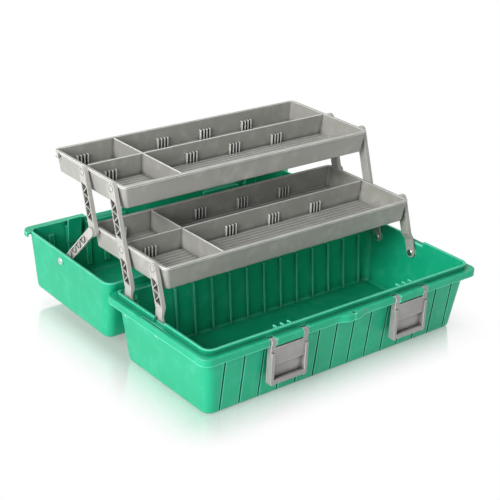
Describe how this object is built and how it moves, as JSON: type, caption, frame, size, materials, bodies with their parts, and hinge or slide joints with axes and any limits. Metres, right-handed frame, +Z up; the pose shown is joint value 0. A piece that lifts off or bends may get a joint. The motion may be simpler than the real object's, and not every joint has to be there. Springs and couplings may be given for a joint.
{
  "type": "tool box",
  "caption": "Plastic cantilever tool box with a ribbed base, a lid swung back, stepped sorting trays on folding arms, front latches and a carry handle.",
  "frame": {"origin": "centre of the base's underside, where the box stands", "axes": "+X along the box, -Y towards the latches, +Z up"},
  "size_m": [0.419, 0.391, 0.2084],
  "materials": {
    "green_plastic": "satin moulded polypropylene",
    "tray_grey": "satin moulded polypropylene",
    "arm_grey": "satin moulded polypropylene",
    "latch_grey": "satin moulded polypropylene",
    "steel": "bright plated"
  },
  "bodies": {
    "base": {"base_box": "green_plastic", "front_arm_rivet_left": "steel", "main_arm_rivet_left": "steel", "hinge_pin_left": "steel", "latch_pin_left": "steel", "front_arm_rivet_right": "steel", "main_arm_rivet_right": "steel", "hinge_pin_right": "steel", "latch_pin_right": "steel"},
    "lid": {"lid_shell": "green_plastic", "lid_link_rivet_left": "steel", "handle_pin_left": "steel", "lid_link_rivet_right": "steel", "handle_pin_right": "steel"},
    "front_arms": {"front_arm_left": "arm_grey", "front_arm_right": "arm_grey"},
    "main_arms": {"main_arm_left": "arm_grey", "main_arm_right": "arm_grey"},
    "lower_tray": {"lower_tray": "tray_grey"},
    "upper_tray": {"upper_tray": "tray_grey"},
    "rear_arms": {"rear_arm_left": "arm_grey", "rear_arm_right": "arm_grey"},
    "lid_links": {"lid_link_left": "arm_grey", "lid_link_right": "arm_grey"},
    "latch_left": {"latch_left": "latch_grey"},
    "latch_right": {"latch_right": "latch_grey"},
    "handle": {"carry_handle": "latch_grey"}
  },
  "joints": [
    {"name": "lid_hinge", "type": "hinge", "parent": "base", "child": "lid", "pos_m": [0, 0.094, 0.0855], "axis": [1, 0, 0], "range_deg": [0, 178.8]},
    {"name": "main_arms_swing", "type": "hinge", "parent": "base", "child": "main_arms", "pos_m": [0, 0.0642, 0.069], "axis": [1, 0, 0], "range_deg": [0, 83]},
    {"name": "front_arms_swing", "type": "hinge", "parent": "base", "child": "front_arms", "pos_m": [0, 0.0032, 0.069], "axis": [1, 0, 0], "range_deg": [0, 83]},
    {"name": "lower_tray_level", "type": "hinge", "parent": "main_arms", "child": "lower_tray", "pos_m": [0, 0.08583, 0.13557], "axis": [1, 0, 0], "range_deg": [-83, 0]},
    {"name": "upper_tray_level", "type": "hinge", "parent": "main_arms", "child": "upper_tray", "pos_m": [0, 0.10746, 0.20215], "axis": [1, 0, 0], "range_deg": [-83, 0]},
    {"name": "rear_arms_swing", "type": "hinge", "parent": "lower_tray", "child": "rear_arms", "pos_m": [0, 0.14683, 0.13557], "axis": [1, 0, 0], "range_deg": [0, 83]},
    {"name": "lid_links_swing", "type": "hinge", "parent": "lid", "child": "lid_links", "pos_m": [0, 0.19952, 0.08101], "axis": [1, 0, 0], "range_deg": [0, 52.19]},
    {"name": "latch_left_flip", "type": "hinge", "parent": "base", "child": "latch_left", "pos_m": [-0.093, -0.093, 0.0764], "axis": [-1, 0, 0], "range_deg": [0, 180]},
    {"name": "latch_right_flip", "type": "hinge", "parent": "base", "child": "latch_right", "pos_m": [0.093, -0.093, 0.0764], "axis": [-1, 0, 0], "range_deg": [0, 180]},
    {"name": "handle_fold", "type": "hinge", "parent": "lid", "child": "handle", "pos_m": [0, 0.18965, 0.00759], "axis": [-1, 0, 0], "range_deg": [0, 90]}
  ],
  "couplings": [
    {"joint": "main_arms_swing", "follows": "lid_hinge", "ratio": 0.4642},
    {"joint": "front_arms_swing", "follows": "lid_hinge", "ratio": 0.4642},
    {"joint": "lower_tray_level", "follows": "lid_hinge", "ratio": -0.4642},
    {"joint": "upper_tray_level", "follows": "lid_hinge", "ratio": -0.4642},
    {"joint": "rear_arms_swing", "follows": "lid_hinge", "ratio": 0.4642},
    {"joint": "lid_links_swing", "follows": "lid_hinge", "ratio": 0.29189}
  ]
}
